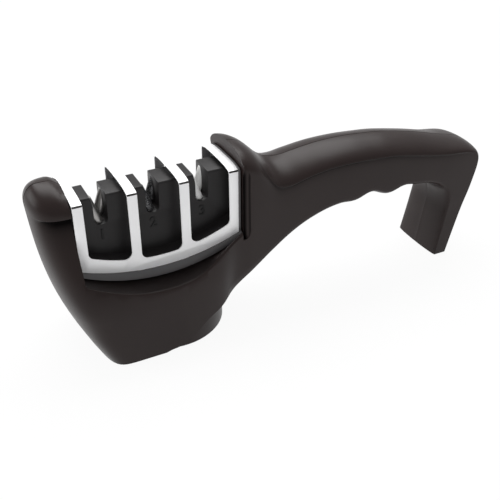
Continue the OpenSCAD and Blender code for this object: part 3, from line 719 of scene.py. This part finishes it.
for part, side in (("near", -1), ("far", 1)):
    place(make_shell(part + "_body_shell", side), "body", "body_shell_" + part)


# Steel cover: one bent sheet with a crowned top, a scored line along each bend and three windows

COVER_HALF, COVER_LOW, COVER_CORNER, SHEET = 14.0, 30.0, 71.3, 0.6
COVER_CROWN, CROWN_HALF, CROWN_POWER = 1.3, 13.7, 4
TOP_HALF, UNDERSIDE_HALF = 13.4, 12.6
# The bend from the near side to the top: outside, with the scored line, and inside
BEND_OUTSIDE = [(-COVER_HALF, 70.78), (-13.62, 70.98), (-13.72, COVER_CORNER)]
BEND_INSIDE = [(-COVER_HALF + SHEET, 70.0), (-13.0, 70.6)]
BAND_CENTRE, BAND_RADIUS, BELOW_BAND = 126.0, 90.0, 10.0
WINDOW_CENTRE, WINDOW_RADIUS, WINDOW_CORNER, WINDOW_TOP = 111.0, 70.0, 3.0, 90.0
STRIP_WIDTH, STRIP_PITCH = 4.0, 21.25
BEND_SHADE_LOW, BEND_SHADE_HIGH, BEND_SHADE_HALF = 70.7, 71.35, 13.55
INSIDE_FROM, UNDERSIDE_FROM, UNDERSIDE_REACH = 12.5, 69.5, 13.5
TAB_HALF, TAB_LOW, TAB_HIGH = 2.5, 33.6, 36.6
PAST_COVER, COVER_EDGE = 20.0, 0.12


def crown(half, depth, steps=36):
    """Points across the crowned top, at a depth below its outer side."""
    across = (mix(-half, half, i / steps) for i in range(steps + 1))
    return [(y, COVER_CORNER + COVER_CROWN * (1 - (abs(y) / CROWN_HALF) ** CROWN_POWER) - depth)
            for y in across]


def cover_profile():
    """The section across the cover, as its outer and its inner side, each from near to far."""
    outer = [(-COVER_HALF, COVER_LOW)] + BEND_OUTSIDE
    inner = [(-COVER_HALF + SHEET, COVER_LOW)] + BEND_INSIDE
    return (outer + crown(TOP_HALF, 0.0) + [(-y, z) for y, z in reversed(outer)],
            inner + crown(UNDERSIDE_HALF, SHEET) + [(-y, z) for y, z in reversed(inner)])


def window_cutter(i):
    """A prism across the cover with a window's outline: an arc below, with rounded lower corners."""
    left = X_COVER + STRIP_PITCH * i + STRIP_WIDTH
    right = left + STRIP_PITCH - STRIP_WIDTH
    corners = []
    for x in (left + WINDOW_CORNER, right - WINDOW_CORNER):
        z = arc_height(x, WINDOW_CENTRE, WINDOW_RADIUS - WINDOW_CORNER)
        corners.append((x, z, math.atan2(z - WINDOW_CENTRE, x - X_CART)))
    (left_x, left_z, left_turn), (right_x, right_z, right_turn) = corners
    outline = [(left, WINDOW_TOP)]
    outline += arc(left_x, left_z, WINDOW_CORNER, -math.pi, left_turn, 8)
    outline += arc(X_CART, WINDOW_CENTRE, WINDOW_RADIUS, left_turn, right_turn, 16)[1:-1]
    outline += arc(right_x, right_z, WINDOW_CORNER, right_turn, 0.0, 8)
    outline.append((right, WINDOW_TOP))
    return prism_across("window", outline, -PAST_COVER, PAST_COVER)


def arched_bar(name, ends, half, low, high, top_half=None, steps=60):
    """A bar along the cartridge between two heights, each a function of x."""
    top = top_half or half
    rings = []
    for i in range(steps + 1):
        x = mix(*ends, i / steps)
        rings.append([(x, -half, low(x)), (x, half, low(x)), (x, top, high(x)), (x, -top, high(x))])
    return solid_of_rings(name, rings)


def band_height(x):
    """The lower edge of the steel band."""
    return arc_height(x, BAND_CENTRE, BAND_RADIUS)


def cover_face_material(centre, normal):
    """Material index: 0 outside; 1 inside, a darker copy of the steel as painted shade; 2 on the scored
    lines, painted dark as shade.
    """
    side, z = abs(centre.y), centre.z
    if BEND_SHADE_LOW < z < BEND_SHADE_HIGH and side > BEND_SHADE_HALF and abs(normal.x) < 0.5:
        return 2
    inward = normal.y * centre.y < -0.01 and side > INSIDE_FROM
    underneath = normal.z < -0.5 and z > UNDERSIDE_FROM and side < UNDERSIDE_REACH
    return 1 if inward or underneath else 0


def join(thing, others):
    work = bmesh.new()
    for piece in [thing] + others:
        work.from_mesh(piece.data)
    work.to_mesh(thing.data)
    work.free()
    for piece in others:
        bpy.data.objects.remove(piece)


def make_cover():
    outer, inner = cover_profile()
    cover = prism_along("cover", outer + list(reversed(inner)), X_COVER, X_COVER_END)
    for material in (cover_steel, shaded_inside_steel, bend_shade_steel):
        cover.data.materials.append(material)
    for i in range(3):
        cut(cover, window_cutter(i))
    cut(cover, arched_bar("below the band", (X_COVER - OVERRUN, X_COVER_END + OVERRUN), PAST_COVER,
                          lambda x: BELOW_BAND, band_height))
    rounded_edges(cover, COVER_EDGE)
    for face in cover.data.polygons:
        face.material_index = cover_face_material(face.center / MM, face.normal)
    tabs = []
    for i in (1, 2):
        x = X_COVER + STRIP_WIDTH / 2 + STRIP_PITCH * i
        for y in (-COVER_HALF, COVER_HALF - SHEET):
            tabs.append(box_solid("tab", (x - TAB_HALF, y, TAB_LOW), (x + TAB_HALF, y + SHEET, TAB_HIGH)))
    join(cover, tabs)
    return finish_piece(cover, "bent_steel_cover", cover_steel, 28)


place(make_cover(), "cartridge", "steel_cover")


# Cartridge frame: dark rim under the band, sunken decks, tower with three slots, end plate

PLUG_HALF, PLUG_BOTTOM, PLATE_RISE, PLATE_GAP = 13.25, 32.2, 0.2, 0.1
RIM_HALF, RIM_TOP_HALF, RIM_RADIUS, RIM_GAP = 15.5, COVER_HALF + 0.25, 72.5, 0.06
TOWER_HALF, TOWER_TOP, TOWER_ROLL, DECK_RADIUS, FRAME_EDGE = 6.3, 69.4, 1.0, 71.0, 0.22
SLOT_BOTTOM, SLOT_LEFT, SLOT_RIGHT, SLOT_ROUND = 56.8, 2.9, 2.5, 2.0
SLOT_FLARE, SLOT_FLARE_DEPTH, SLOT_FLARE_POWER, SLOT_CHAMFER, SLOT_REACH = 0.7, 5.0, 1.5, 0.25, 9.0
SLOTS = [X_COVER + STRIP_WIDTH / 2 + STRIP_PITCH * (i + 0.5) for i in range(3)]
DIGIT_SIZE, DIGIT_RELIEF, DIGIT_ROLL, DIGIT_FOOT, DIGIT_SHIFT = 6.3, 0.3, 0.06, 50.4, -0.4


def tower_solid():
    foot, roll_start = PLUG_BOTTOM + 1, TOWER_TOP - TOWER_ROLL
    section = [(-TOWER_HALF, foot)]
    section += arc(-TOWER_HALF + TOWER_ROLL, roll_start, TOWER_ROLL, math.pi, math.pi / 2, 6)
    section += arc(TOWER_HALF - TOWER_ROLL, roll_start, TOWER_ROLL, math.pi / 2, 0.0, 6)
    section.append((TOWER_HALF, foot))
    return prism_along("tower", section, X_COVER, X_CART_END)


def end_plate_solid():
    """The plate behind the cover, with the cover's own outline down to the band's lower edge."""
    low = band_height(X_CART_END) + PLATE_RISE
    section = [(y, max(z, low)) for y, z in cover_profile()[0]]
    return prism_along("end plate", section, X_COVER_END + PLATE_GAP, X_CART_END)


def slot_cutter(x):
    """The knife slot: upright walls, a round bottom and a mouth that flares towards the nose."""
    above = TOWER_TOP + 2
    middle, half = (SLOT_RIGHT - SLOT_LEFT) / 2, (SLOT_RIGHT + SLOT_LEFT) / 2
    outline = [(SLOT_RIGHT + SLOT_CHAMFER, above), (SLOT_RIGHT + SLOT_CHAMFER, TOWER_TOP)]
    for a in (-math.pi * k / 20 for k in range(21)):
        outline.append((middle + half * math.cos(a), SLOT_BOTTOM + SLOT_ROUND + SLOT_ROUND * math.sin(a)))
    for s in (k / 8 for k in range(9)):
        flare = SLOT_FLARE * smooth(s) ** SLOT_FLARE_POWER
        outline.append((-SLOT_LEFT - flare, mix(TOWER_TOP - SLOT_FLARE_DEPTH, TOWER_TOP, s)))
    outline.append((-SLOT_LEFT - SLOT_FLARE, above))
    return prism_across("slot", [(x + u, z) for u, z in outline], -SLOT_REACH, SLOT_REACH)


def make_frame():
    ends = (X_COVER, X_CART_END)
    piece = arched_bar("deck", ends, PLUG_HALF, lambda x: PLUG_BOTTOM,
                       lambda x: arc_height(x, WINDOW_CENTRE, DECK_RADIUS))
    cut(piece, arched_bar("rim", ends, RIM_HALF, lambda x: arc_height(x, LIP_CENTRE, RIM_RADIUS),
                          lambda x: arc_height(x, BAND_CENTRE, BAND_RADIUS + RIM_GAP), RIM_TOP_HALF),
        "UNION")
    cut(piece, tower_solid(), "UNION")
    cut(piece, end_plate_solid(), "UNION")
    for x in SLOTS:
        cut(piece, slot_cutter(x))
    rounded_edges(piece, FRAME_EDGE, 50)
    for material in (frame_plastic, rim_plastic):
        piece.data.materials.append(material)
    for face in piece.data.polygons:
        centre = face.center / MM
        rim = abs(centre.y) > PLUG_HALF + 0.1
        face.material_index = 1 if rim or centre.x > X_COVER_END else 0
    return finish_piece(piece, "slotted_frame", frame_plastic, 30)


def make_digit(text, x):
    """A digit in low relief on the near face of the tower."""
    curve = bpy.data.curves.new("digit", "FONT")
    curve.body = text
    curve.size = DIGIT_SIZE * MM
    curve.extrude = DIGIT_RELIEF * MM
    curve.bevel_depth = DIGIT_ROLL * MM
    curve.align_x = "CENTER"
    flat = add_object("digit", curve)
    mesh = bpy.data.meshes.new_from_object(flat.evaluated_get(bpy.context.evaluated_depsgraph_get()))
    bpy.data.objects.remove(flat)
    spot = Matrix.Translation((x * MM, -TOWER_HALF * MM, DIGIT_FOOT * MM))
    mesh.transform(spot @ Matrix.Rotation(math.pi / 2, 4, "X"))
    mesh.materials.clear()
    return finish_piece(add_object("digit", mesh), "digit_" + text, inner_plastic)


place(make_frame(), "cartridge", "cartridge_frame")
for text, x in zip("123", SLOTS):
    digit = make_digit(text, x + DIGIT_SHIFT)
    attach(digit, "cartridge")


# Rods: one of each pair on the near side, leaning towards the nose, and one on the far side

ROD_RADIUS, ROD_BELOW, ROD_ABOVE, ROD_CHAMFER, ROD_ROLL = 2.3, 8.3, 14.3, 0.4, 0.8
ROD_LEAN, ROD_CROSSING, ROD_SIDE = 20.0, 54.3, 2.6
MARK_RADIUS, MARK_FLOOR, MARK_DEPTH = 0.5, 0.15, 0.3
ROD_STEPS = 48


def make_rod(name, x, side, material):
    """A turned rod with a rolled top, a chamfered foot and a small centre mark in the top."""
    foot, roll_start = -ROD_BELOW + ROD_CHAMFER, ROD_ABOVE - ROD_ROLL
    profile = [(0.0, -ROD_BELOW), (ROD_RADIUS - ROD_CHAMFER, -ROD_BELOW), (ROD_RADIUS, foot)]
    profile += [(ROD_RADIUS, mix(foot, roll_start, k / 12)) for k in range(1, 13)]
    profile += arc(ROD_RADIUS - ROD_ROLL, roll_start, ROD_ROLL, 0.0, math.pi / 2, 5)[1:]
    profile += [(MARK_RADIUS, ROD_ABOVE), (MARK_FLOOR, ROD_ABOVE - MARK_DEPTH), (0.0, ROD_ABOVE - MARK_DEPTH)]
    points, faces = [], []
    m = len(profile)
    for i in range(ROD_STEPS):
        a = 2 * math.pi * i / ROD_STEPS
        points += [(r * math.cos(a), r * math.sin(a), z) for r, z in profile]
        n = (i + 1) % ROD_STEPS
        faces += [(i * m + j, i * m + j + 1, n * m + j + 1, n * m + j) for j in range(m - 1)]
    rod = mesh_object(name, points, faces)
    lean = Matrix.Rotation(math.radians(side * ROD_LEAN), 4, "Y")
    rod.data.transform(Matrix.Translation(Vector((x, side * ROD_SIDE, ROD_CROSSING)) * MM) @ lean)
    return finish_piece(rod, name, material)


for kind, x, material, slot in (("coarse", SLOTS[0], coarse_metal, "rod_steel"),
                                ("fine", SLOTS[1], diamond_coating, "rod_diamond"),
                                ("polish", SLOTS[2], white_ceramic, "rod_ceramic")):
    for part, side in (("near", -1), ("far", 1)):
        rod = make_rod("turned_" + kind + "_rod_" + part, x, side, material)
        place(rod, "cartridge", kind + "_rod_" + part)


# Screws: one node tree, a head with a hexagonal drive on a plain shank at each place

DRIVE_SHARE, DRIVE_DEPTH, SHANK_START, SCREW_EDGE = 0.5, 1.2, 0.9, 0.15
SHELL_HEAD, SHELL_SHANK, SHELL_HEAD_SIDE = (5.0, 2.0), (2.6, 16.0), 10.0
SMALL_HEAD, SMALL_SHANK, FLOOR_UNDERSIDE = (3.8, 1.2), (2.0, 7.0), 29.7
HEAD_TO_FAR_SIDE, HEAD_DOWN = (-math.pi / 2, 0.0, 0.0), (math.pi, 0.0, 0.0)


def screw_tree():
    tree = bpy.data.node_groups.new("screws", "GeometryNodeTree")
    sockets = tree.interface
    sockets.new_socket("Places", in_out="INPUT", socket_type="NodeSocketGeometry")
    for name in ("Head diameter", "Head height", "Shank diameter", "Shank length"):
        sockets.new_socket(name, in_out="INPUT", socket_type="NodeSocketFloat")
    sockets.new_socket("Turn", in_out="INPUT", socket_type="NodeSocketVector")
    sockets.new_socket("Steel", in_out="INPUT", socket_type="NodeSocketMaterial")
    sockets.new_socket("Screws", in_out="OUTPUT", socket_type="NodeSocketGeometry")
    link = tree.links.new
    given = tree.nodes.new("NodeGroupInput").outputs

    def times(value, factor):
        node = tree.nodes.new("ShaderNodeMath")
        node.operation = "MULTIPLY"
        link(value, node.inputs[0])
        node.inputs[1].default_value = factor
        return node.outputs[0]

    def cylinder(sides, diameter, depth, drop=None):
        node = tree.nodes.new("GeometryNodeMeshCylinder")
        node.inputs["Vertices"].default_value = sides
        link(times(diameter, 0.5), node.inputs["Radius"])
        link(depth, node.inputs["Depth"])
        if drop is None:
            return node.outputs["Mesh"]
        height = tree.nodes.new("ShaderNodeCombineXYZ")
        link(drop, height.inputs["Z"])
        move = tree.nodes.new("GeometryNodeTransform")
        link(node.outputs["Mesh"], move.inputs["Geometry"])
        link(height.outputs["Vector"], move.inputs["Translation"])
        return move.outputs["Geometry"]

    head = cylinder(40, given["Head diameter"], given["Head height"], times(given["Head height"], -0.5))
    drive = cylinder(6, times(given["Head diameter"], DRIVE_SHARE), times(given["Head height"], DRIVE_DEPTH))
    socket_head = tree.nodes.new("GeometryNodeMeshBoolean")
    socket_head.operation = "DIFFERENCE"
    link(head, socket_head.inputs["Mesh 1"])
    link(drive, socket_head.inputs["Mesh 2"])
    under_head = tree.nodes.new("ShaderNodeMath")
    under_head.operation = "SUBTRACT"
    link(times(given["Shank length"], -0.5), under_head.inputs[0])
    link(times(given["Head height"], SHANK_START), under_head.inputs[1])
    shank = cylinder(24, given["Shank diameter"], given["Shank length"], under_head.outputs[0])
    whole = tree.nodes.new("GeometryNodeJoinGeometry")
    link(socket_head.outputs["Mesh"], whole.inputs["Geometry"])
    link(shank, whole.inputs["Geometry"])
    spread = tree.nodes.new("GeometryNodeInstanceOnPoints")
    link(given["Places"], spread.inputs["Points"])
    link(whole.outputs["Geometry"], spread.inputs["Instance"])
    link(given["Turn"], spread.inputs["Rotation"])
    real = tree.nodes.new("GeometryNodeRealizeInstances")
    link(spread.outputs["Instances"], real.inputs["Geometry"])
    steel = tree.nodes.new("GeometryNodeSetMaterial")
    link(real.outputs["Geometry"], steel.inputs["Geometry"])
    link(given["Steel"], steel.inputs["Material"])
    link(steel.outputs["Geometry"], tree.nodes.new("NodeGroupOutput").inputs["Screws"])
    return tree


SCREWS = screw_tree()


def make_screws(name, places, head, shank, turn):
    """Screws with the tops of their heads at the places given, head and shank as (diameter, length)."""
    thing = mesh_object(name, places, [])
    modifier = thing.modifiers.new("screws", "NODES")
    modifier.node_group = SCREWS
    values = {"Head diameter": head[0] * MM, "Head height": head[1] * MM, "Shank diameter": shank[0] * MM,
              "Shank length": shank[1] * MM, "Turn": turn, "Steel": screw_steel}
    for item in SCREWS.interface.items_tree:
        if item.name in values:
            modifier[item.identifier] = values[item.name]
    bake(thing)
    rounded_edges(thing, SCREW_EDGE)
    return finish_piece(thing, name, screw_steel)


shell_places = [(x, SHELL_HEAD_SIDE, z) for x, z in SHELL_SCREWS]
base_places = [(X_PEDESTAL + x, y, PAD) for x in (-18.0, 9.0) for y in (-12.0, 12.0)]
floor_places = [(X_COVER + STRIP_WIDTH / 2 + STRIP_PITCH * i, y, FLOOR_UNDERSIDE)
                for i in (1, 2) for y in (-9.5, 9.5)]
place(make_screws("body_screws", shell_places, SHELL_HEAD, SHELL_SHANK, HEAD_TO_FAR_SIDE),
      "body", "shell_screws")
place(make_screws("plate_screws", base_places, SMALL_HEAD, SMALL_SHANK, HEAD_DOWN),
      "body", "base_screws")
place(make_screws("floor_screws", floor_places, SMALL_HEAD, SMALL_SHANK, HEAD_DOWN),
      "cartridge", "cartridge_screws")


# Rubber pads under the head and the leg

BASE_STEPS, QUARTER_STEPS = 26, 24
PAD_ROLL, PAD_ROLL_HEIGHT, PAD_REACH = 0.1, 0.08, 20


def base_outline():
    """The far half of the base's outline less the pads' inset, from the front round the pedestal."""
    outline = []
    for i in range(BASE_STEPS + 1):
        s = (i / BASE_STEPS) ** 2
        outline.append((nose_front(PAD) + PAD_INSET + HEAD_LENGTH * NOSE_SHARE_LOW * s,
                        (HEAD_HALF - PAD_INSET) * nose_spread(s, 1.0)))
    radius = PEDESTAL_RADIUS - PAD_INSET
    return outline + [(X_PEDESTAL + radius * math.sin(a), PEDESTAL_SQUASH * radius * math.cos(a))
                      for a in (math.pi / 2 * k / QUARTER_STEPS for k in range(1, QUARTER_STEPS + 1))]


def foot_outline():
    """The far half of the leg's outline at the foot, less the pads' inset."""
    low = X_SHOULDER + HANDLE_LENGTH * HANDLE_SHARES[-1][0] + PAD_INSET
    high = X_SHOULDER + HANDLE_LENGTH * HANDLE_SHARES[-1][2] - PAD_INSET
    radius = (high - low) / 2
    bend = arc((low + high) / 2, HANDLE_HALF - PAD_INSET - radius, radius, math.pi, 0.0, 16)
    return [(low, 0.0)] + bend + [(high, 0.0)]


def rubber_pad(name, outline):
    """A pad from the far half of its outline, with a rolled lower edge."""
    ring = outline + [(x, -y) for x, y in reversed(outline) if y > 0.01]
    middle = sum(x for x, _ in ring) / len(ring)
    reach = max(abs(x - middle) for x, _ in ring)
    rings = []
    for inset, z in ((PAD_ROLL, 0.0), (0.0, PAD_ROLL_HEIGHT), (0.0, PAD_SHOWN)):
        along, across = 1 - inset / reach, 1 - inset / PAD_REACH
        rings.append([(middle + (x - middle) * along, y * across, z) for x, y in ring])
    return finish_piece(solid_of_rings(name, rings), name, pad_rubber)


place(rubber_pad("base_rubber_pad", base_outline()), "body", "base_pad")
place(rubber_pad("foot_rubber_pad", foot_outline()), "body", "handle_foot_pad")


# Floor, light and camera

FLOOR_REACH, FLOOR_GLOW = 4, 0.93
SKY_ON_OBJECT, SKY_SEEN = 0.52, 1.0


def look_from(position, azimuth, elevation):
    """Turns something that points along its own -Z: azimuth from +Y towards +X, elevation above level."""
    a, e = math.radians(azimuth), math.radians(elevation)
    aim = Vector((math.sin(a) * math.cos(e), math.cos(a) * math.cos(e), math.sin(e)))
    return Matrix.Translation(position) @ aim.to_track_quat("-Z", "Y").to_matrix().to_4x4()


def seen_by(tree, first, second):
    """1 for either kind of ray and 0 for all others."""
    path = tree.nodes.new("ShaderNodeLightPath")
    seen = tree.nodes.new("ShaderNodeMath")
    seen.operation = "MAXIMUM"
    tree.links.new(path.outputs[first], seen.inputs[0])
    tree.links.new(path.outputs[second], seen.inputs[1])
    return seen.outputs[0]


def make_floor():
    """A pale floor that takes the shadow and shows as nearly white."""
    mesh = bpy.data.meshes.new("floor")
    corners = [(FLOOR_REACH * x, FLOOR_REACH * y, 0) for x, y in ((-1, -1), (1, -1), (1, 1), (-1, 1))]
    mesh.from_pydata(corners, [], [(0, 1, 2, 3)])
    floor = add_object("floor", mesh)
    material = bpy.data.materials.new("pale floor")
    material.use_nodes = True
    tree = material.node_tree
    shader = tree.nodes["Principled BSDF"]
    shader.inputs["Base Color"].default_value = (0.9, 0.9, 0.9, 1)
    shader.inputs["Roughness"].default_value = 0.9
    shader.inputs["Specular IOR Level"].default_value = 0.1
    glow = tree.nodes.new("ShaderNodeEmission")
    share = tree.nodes.new("ShaderNodeMath")
    share.operation = "MULTIPLY"
    share.inputs[1].default_value = FLOOR_GLOW
    tree.links.new(seen_by(tree, "Is Camera Ray", "Is Glossy Ray"), share.inputs[0])
    blend = tree.nodes.new("ShaderNodeMixShader")
    tree.links.new(share.outputs[0], blend.inputs["Fac"])
    tree.links.new(shader.outputs[0], blend.inputs[1])
    tree.links.new(glow.outputs[0], blend.inputs[2])
    tree.links.new(blend.outputs[0], tree.nodes["Material Output"].inputs["Surface"])
    mesh.materials.append(material)


def make_world():
    """A white sky, dimmer as light on the object than where it is seen."""
    world = bpy.data.worlds.new("studio")
    bpy.context.scene.world = world
    world.use_nodes = True
    tree = world.node_tree
    back = tree.nodes["Background"]
    back.inputs["Color"].default_value = (1, 1, 1, 1)
    strength = tree.nodes.new("ShaderNodeMapRange")
    strength.inputs["To Min"].default_value = SKY_ON_OBJECT
    strength.inputs["To Max"].default_value = SKY_SEEN
    tree.links.new(seen_by(tree, "Is Camera Ray", "Is Transmission Ray"), strength.inputs["Value"])
    tree.links.new(strength.outputs["Result"], back.inputs["Strength"])


def make_lamp(name, position, azimuth, elevation, size, power):
    lamp = bpy.data.lights.new(name, "AREA")
    lamp.shape = "RECTANGLE"
    lamp.size, lamp.size_y = size
    lamp.energy = power
    add_object(name, lamp).matrix_world = look_from(Vector(position), azimuth, elevation)


def make_camera(position, azimuth, elevation, lens):
    data = bpy.data.cameras.new("camera")
    data.sensor_width = 36
    data.lens = lens
    data.clip_start, data.clip_end = 0.01, 20
    camera = add_object("camera", data)
    camera.matrix_world = look_from(Vector(position), azimuth, elevation)
    bpy.context.scene.camera = camera


make_floor()
make_world()
make_lamp("overhead softbox", (0.14, 0.38, 0.80), azimuth=198, elevation=-64, size=(1.0, 0.6), power=8.7)
make_lamp("left softbox", (-0.80, 0.35, 0.40), azimuth=112, elevation=-25, size=(0.5, 0.6), power=3.0)
make_camera((-0.1422, -0.2681, 0.2160), azimuth=26.45, elevation=-32.96, lens=57.05)
bpy.context.scene.view_settings.view_transform = "Standard"
